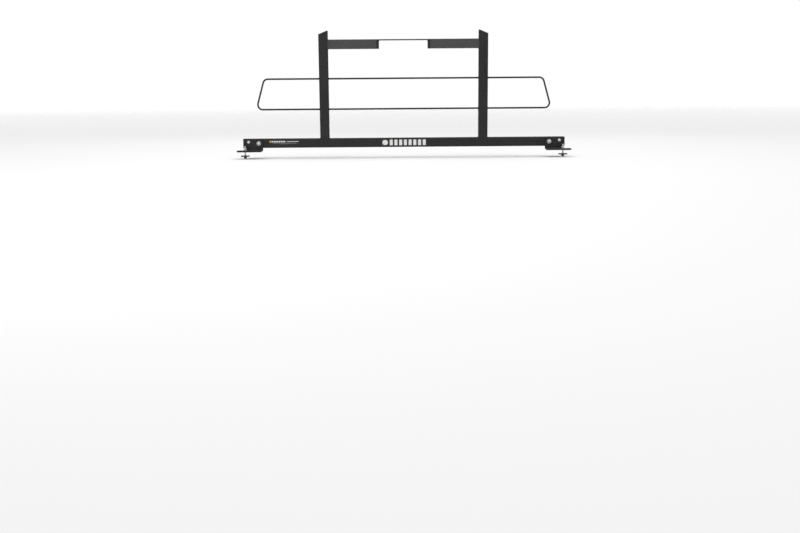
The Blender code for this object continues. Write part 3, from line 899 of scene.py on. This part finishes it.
def nut_mesh(height):
    """A hexagon nut centred on its origin, chamfered on both faces."""
    bore = BOLT_DIAMETER / 2 + GAP
    lead = 0.0007
    half = height / 2
    rows = [
        ring(bore + lead, half), ring(FACE_RADIUS, half), chamfered(half, 1),
        chamfered(-half, -1), ring(FACE_RADIUS, -half), ring(bore + lead, -half),
        ring(bore, -half + lead), ring(bore, half - lead),
    ]
    return rows_mesh("nut", rows, closed=True)


def washer_mesh(outer, thick):
    """A stamped washer centred on its origin: rolled over on top, square below."""
    rim, bore, half = outer / 2, WASHER_BORE / 2, thick / 2
    profile = [(rim, -half + 0.0001), (rim, half - 0.0006), (rim - 0.00015, half - 0.00025),
               (rim - 0.0006, half), (bore + 0.0003, half), (bore, half - 0.0003),
               (bore, -half + 0.0001), (bore + 0.0001, -half), (rim - 0.0001, -half)]
    return rows_mesh("washer", [ring(radius, level, 2 * COLUMNS) for radius, level in profile],
                     closed=True)


def lock_washer_mesh(outer, thick):
    """A split spring washer: its two ends stand a little apart in height."""
    step = 0.0004
    split = math.radians(11)
    section = [((outer + WASHER_BORE) / 4 + u, v) for u, v
               in rounded_rectangle((outer - WASHER_BORE) / 2, thick - step, 0.00025, 3)]
    rows = []
    count = 2 * COLUMNS
    for index in range(count + 1):
        share = index / count
        rise = step * (share - 0.5)
        row = []
        for radius, level in section:
            # the ends are cut on a slant
            angle = split / 2 + (2 * math.pi - split) * share - math.pi / 2
            angle += 0.35 * level / radius
            row.append(Vector((radius * math.cos(angle), radius * math.sin(angle), level + rise)))
        rows.append(row)
    return rows_mesh("spring", rows, capped=True, sharp=35)


def make_beam_bolt(side, place, spin):
    """A through-bolt, head to the tailgate, with a washer under its head and its nut."""
    tag = f"{side}_{place}"
    facing = (math.pi / 2, 0.0, spin)
    # The inner head washers and the nut washers take the darker zinc copy, which is painted
    # shade.
    under_slot, under_look = ("zinc", SHADED_ZINC) if place == "inner" else ("dark_zinc", None)
    low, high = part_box(f"beam_bolt_{tag}")
    axis = middle(f"beam_bolt_{tag}")
    under_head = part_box(f"bolt_washer_{tag}")[0].y - GAP
    head_height = under_head - low.y
    bolt = bolt_mesh(high.y - under_head, head_height)
    show(f"hex_bolt_{tag}", placed(bolt, (axis.x, under_head, axis.z), facing), "zinc",
         nodes=[f"beam_bolt_{tag}"])
    for end, cad, slot, look, sense in (
            ("head", f"bolt_washer_{tag}", under_slot, under_look, 1),
            ("nut", f"nut_washer_{tag}", "zinc", SHADED_ZINC, -1)):
        extent = size(cad)
        mesh = washer_mesh(extent.x, extent.y)
        show(f"washer_{end}_{tag}", placed(mesh, middle(cad), (sense * math.pi / 2, 0.0, 0.0)),
             slot, nodes=[cad], material=look)
    cad = f"beam_nut_{tag}"
    nut = nut_mesh(size(cad).y)
    show(f"hex_nut_{tag}", placed(nut, middle(cad), (math.pi / 2, 0.0, 0.4 - spin)), "zinc",
         nodes=[cad])


def make_clamp(side, sign):
    """Washers, stud, its locked nut, clamp plate and welded nut of one bed-rail clamp."""
    bracket, screw, jaw = f"bracket_{side}", f"clamp_screw_{side}", f"clamp_jaw_{side}"
    cad = f"clamp_washer_{side}"
    extent = size(cad)
    show(f"flat_washer_{side}", placed(washer_mesh(extent.x, extent.z), middle(cad)), "zinc",
         bracket, [cad])
    cad = f"clamp_lock_washer_{side}"
    extent = size(cad)
    place = middle(cad)
    place.y = middle(f"clamp_washer_{side}").y
    show(f"spring_washer_{side}", placed(lock_washer_mesh(extent.x, extent.z), place), "zinc",
         bracket, [cad])

    cad = f"clamp_stud_nut_{side}"
    nut = nut_mesh(size(cad).z)
    show(f"clamp_hex_nut_{side}", placed(nut, middle(cad), (0.0, 0.0, sign * 0.3)), "zinc",
         screw, [cad])
    cad = f"clamp_stud_{side}"
    axis = middle(cad)
    show(f"clamp_screw_{side}", placed(stud_mesh(size(cad).z), axis), "zinc", screw, [cad])

    cad = f"clamp_plate_{side}"
    low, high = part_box(cad)
    extent = high - low
    rows = []
    for inset, level in ((0.0010, -0.5), (0.0003, -0.45), (0.0, -0.35), (0.0, 0.30),
                         (0.0006, 0.44), (0.0016, 0.5)):
        outline = rounded_rectangle(extent.x - 2 * inset, extent.y - 2 * inset,
                                    JAW_CORNER - inset)
        rows.append([middle(cad) + Vector((u, v, level * extent.z)) for u, v in outline])
    plate = rows_mesh("jaw_plate", rows, capped=True, sharp=35)
    hole = placed(hole_mesh(4 * extent.z), middle(cad))
    grooves = [placed(box_mesh("groove", (2 * extent.x, JAW_GROOVE, JAW_GROOVE)),
                      (axis.x, axis.y + offset, high.z)) for offset in JAW_GROOVES]
    show(f"jaw_plate_{side}", carved(plate, [hole, *grooves]), "dark_zinc", jaw, [cad])

    cad = f"clamp_nut_{side}"
    nut = nut_mesh(size(cad).z)
    show(f"welded_nut_{side}", placed(nut, middle(cad)), "dark_zinc", jaw, [cad])


# ---------------------------------------------------------------- labels
def film(extent, corner, centre, front, thick):
    """A flat film with a rounded outline; front is the y of its outer face."""
    rows = []
    edge = 0.3 * thick
    for inset, y in ((0.0, front + thick), (0.0, front + edge), (edge, front)):
        outline = rounded_rectangle(extent[0] - 2 * inset, extent[1] - 2 * inset,
                                    corner - inset)
        rows.append([Vector((centre[0] + u, y, centre[1] + v)) for u, v in outline])
    return rows


def show_marks(name, shapes, front, material):
    """Flat marks on a label, each (width, height, corner, x, z)."""
    bm = bmesh.new()
    for width, height, corner, x, z in shapes:
        add_rows(bm, film((width, height), corner, (x, z), front, MARK), capped=True)
    show(name, finish_mesh(name, bm, sharp=30), "label_vinyl", material=material)


def make_labels():
    """Plain films with plain blocks and bars in place of the printed labels."""
    for name in ("centre", "side"):
        cad = f"{name}_label"
        low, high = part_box(cad)
        centre = (low + high) / 2
        front = low.y + MARK
        rows = film((high.x - low.x, high.z - low.z), LABEL_CORNER, (centre.x, centre.z), front,
                    high.y - front)
        show(f"{name}_film", rows_mesh("film", rows, capped=True), "label_vinyl", nodes=[cad])

    low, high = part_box("centre_label")
    z = (low.z + high.z) / 2
    blocks, pitch, first = 8, 0.0262, low.x + 0.0545
    shapes = [(0.0300, 0.0280, 0.0139, low.x + 0.0205, z)]
    shapes += [(0.0164, 0.0310, 0.0025, first + index * pitch, z) for index in range(blocks)]
    show_marks("centre_marks", shapes, low.y, MARK_WHITE)

    low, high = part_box("side_label")
    z = high.z - 0.0075
    blocks, pitch, first = 6, 0.0130, low.x + 0.0200
    show_marks("side_dot", [(0.0095, 0.0095, 0.0047, low.x + 0.0080, z)], low.y, MARK_YELLOW)
    shapes = [(0.0102, 0.0074, 0.0010, first + pitch * index, z) for index in range(blocks)]
    shapes.append((0.0670, 0.0028, 0.0012, low.x + 0.1315, z))
    show_marks("side_marks", shapes, low.y, MARK_WHITE)
    shapes = [(0.1300, 0.0028, 0.0010, low.x + 0.0870, low.z + 0.0052),
              (0.0460, 0.0024, 0.0010, low.x + 0.0850, low.z + 0.0020)]
    show_marks("side_bar", shapes, low.y, MARK_GREY)


# ---------------------------------------------------------------- the rack
make_beam()
make_crossbar()
make_rods()
make_labels()
# how far each bolt's head is turned
SPINS = {("left", "inner"): 0.20, ("left", "outer"): 0.85,
         ("right", "inner"): 0.62, ("right", "outer"): 0.05}
for side, sign in SIDES.items():
    make_end_cap(side, sign)
    make_post(side, sign)
    make_bracket(side, sign)
    make_foot_pad(side)
    make_clamp(side, sign)
    for place in PLACES:
        make_beam_bolt(side, place, SPINS[side, place])


# ---------------------------------------------------------------- floor and light
def make_floor():
    """A pale floor that thins out into the white background far away."""
    bm = bmesh.new()
    bmesh.ops.create_circle(bm, cap_ends=True, segments=64, radius=60.0)
    mesh = finish_mesh("floor", bm)
    floor = bpy.data.objects.new("floor", mesh)
    bpy.context.scene.collection.objects.link(floor)
    floor.location.z = CAD_BOX[0].z - 0.0002
    material, tree, shader = start_material("floor", (0.86, 0.86, 0.86), 0.9)
    point = object_point(tree)
    length = node(tree, "ShaderNodeVectorMath")
    length.operation = "LENGTH"
    tree.links.new(point, length.inputs[0])
    fade = spread(tree, length.outputs["Value"], 1.0, 0.0, start=5.0, end=34.0)
    clear = node(tree, "ShaderNodeBsdfTransparent")
    mix = node(tree, "ShaderNodeMixShader")
    tree.links.new(fade, mix.inputs["Fac"])
    tree.links.new(clear.outputs["BSDF"], mix.inputs[1])
    tree.links.new(shader.outputs["BSDF"], mix.inputs[2])
    tree.links.new(mix.outputs["Shader"], tree.nodes["Material Output"].inputs["Surface"])
    mesh.materials.append(material)


def make_world():
    """A soft studio: brightest overhead, dim round the horizon, white behind the rack."""
    world = bpy.data.worlds.new("studio")
    bpy.context.scene.world = world
    world.use_nodes = True
    tree = world.node_tree
    light = tree.nodes["Background"]
    place = node(tree, "ShaderNodeTexCoord")
    parts = node(tree, "ShaderNodeSeparateXYZ")
    tree.links.new(place.outputs["Generated"], parts.inputs["Vector"])
    dome = ramp(tree, parts.outputs["Z"], (0.0, (0.10,) * 3), (1.0, (1.0,) * 3),
                (0.15, (0.13,) * 3), (0.50, (0.52,) * 3))
    tree.links.new(dome, light.inputs["Color"])
    light.inputs["Strength"].default_value = 1.50
    white = node(tree, "ShaderNodeBackground", Color=(1.0, 1.0, 1.0, 1.0), Strength=1.0)
    seen = node(tree, "ShaderNodeLightPath")
    mix = node(tree, "ShaderNodeMixShader")
    tree.links.new(seen.outputs["Is Camera Ray"], mix.inputs["Fac"])
    tree.links.new(light.outputs["Background"], mix.inputs[1])
    tree.links.new(white.outputs["Background"], mix.inputs[2])
    tree.links.new(mix.outputs["Shader"], tree.nodes["World Output"].inputs["Surface"])


def add_light(name, place, target, extent, power):
    lamp = bpy.data.lights.new(name, "AREA")
    lamp.shape = "RECTANGLE"
    lamp.size, lamp.size_y = extent
    lamp.energy = power
    holder = bpy.data.objects.new(name, lamp)
    bpy.context.scene.collection.objects.link(holder)
    holder.location = place
    holder.rotation_euler = (Vector(target) - Vector(place)).to_track_quat("-Z", "Y").to_euler()


def make_camera():
    """The photograph's viewpoint: level with the guard rods, pitched down at the floor."""
    place = Matrix.Translation((-0.0270, -5.437, 0.2773))
    pitch, roll = math.radians(9.76), math.radians(0.43)
    lens = bpy.data.cameras.new("camera")
    lens.sensor_width = 36.0
    lens.lens = 43.56
    lens.clip_start, lens.clip_end = 0.05, 200.0
    camera = bpy.data.objects.new("camera", lens)
    bpy.context.scene.collection.objects.link(camera)
    camera.matrix_world = (place @ Matrix.Rotation(math.pi / 2 - pitch, 4, "X")
                           @ Matrix.Rotation(-roll, 4, "Z"))
    bpy.context.scene.camera = camera


make_floor()
make_world()
add_light("softbox_over", (0.0, -1.2, 2.6), (0.0, 0.0, 0.4), (2.6, 1.2), 10.0)
add_light("softbox_front", (-1.2, -3.7, 2.2), (0.0, 0.0, 0.3), (1.8, 1.8), 18.0)
add_light("softbox_back", (0.0, 2.2, 2.4), (0.0, 0.0, 0.3), (3.0, 0.6), 10.0)
make_camera()
view = bpy.context.scene.view_settings
view.view_transform = "Standard"
view.look = "None"
